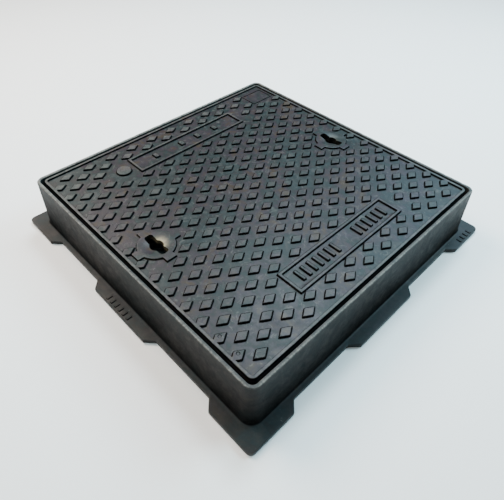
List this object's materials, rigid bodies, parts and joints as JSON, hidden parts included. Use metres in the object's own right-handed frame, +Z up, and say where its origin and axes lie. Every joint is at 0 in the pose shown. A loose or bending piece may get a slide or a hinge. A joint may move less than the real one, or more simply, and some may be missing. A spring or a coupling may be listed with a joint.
{
  "type": "manhole cover",
  "caption": "Square cast iron access cover with diamond tread and two key sockets, lifting out of a deep flanged frame.",
  "frame": {"origin": "centre of the frame's base, on the surface that it is bedded on", "axes": "+Z up out of the road surface, -Y towards the side whose middle lug has the raised bars, +X towards the side with the long row of bars"},
  "size_m": [0.6, 0.6, 0.1],
  "materials": {
    "frame_iron": "black bitumen coat, satin, worn grey along the rim",
    "cover_iron": "black bitumen coat, satin, with a light worn sheen on the tread",
    "socket_iron": "black bitumen coat, worn brownish grey in the dish",
    "strip_rubber": "matte black elastomer",
    "gasket_rubber": "matte black elastomer",
    "pocket_plastic": "moulded black polyethylene",
    "fastener_steel": "stainless, dull"
  },
  "bodies": {
    "frame_body": {"frame": "frame_iron", "seat_strip_front": "strip_rubber", "seat_strip_right": "strip_rubber", "seat_strip_rear": "strip_rubber", "seat_strip_left": "strip_rubber"},
    "cover_body": {"cover": "cover_iron", "key_socket_front": "socket_iron", "key_socket_rear": "socket_iron", "pocket_gasket_front": "gasket_rubber", "pocket_gasket_rear": "gasket_rubber", "key_pocket_front": "pocket_plastic", "key_pocket_rear": "pocket_plastic", "pocket_washers_front": "fastener_steel", "pocket_washers_rear": "fastener_steel", "pocket_screws_front": "fastener_steel", "pocket_screws_rear": "fastener_steel"}
  },
  "joints": [
    {"name": "cover_lift", "type": "slide", "parent": "frame_body", "child": "cover_body", "axis": [0, 0, 1], "range_m": [0, 0.15]}
  ]
}
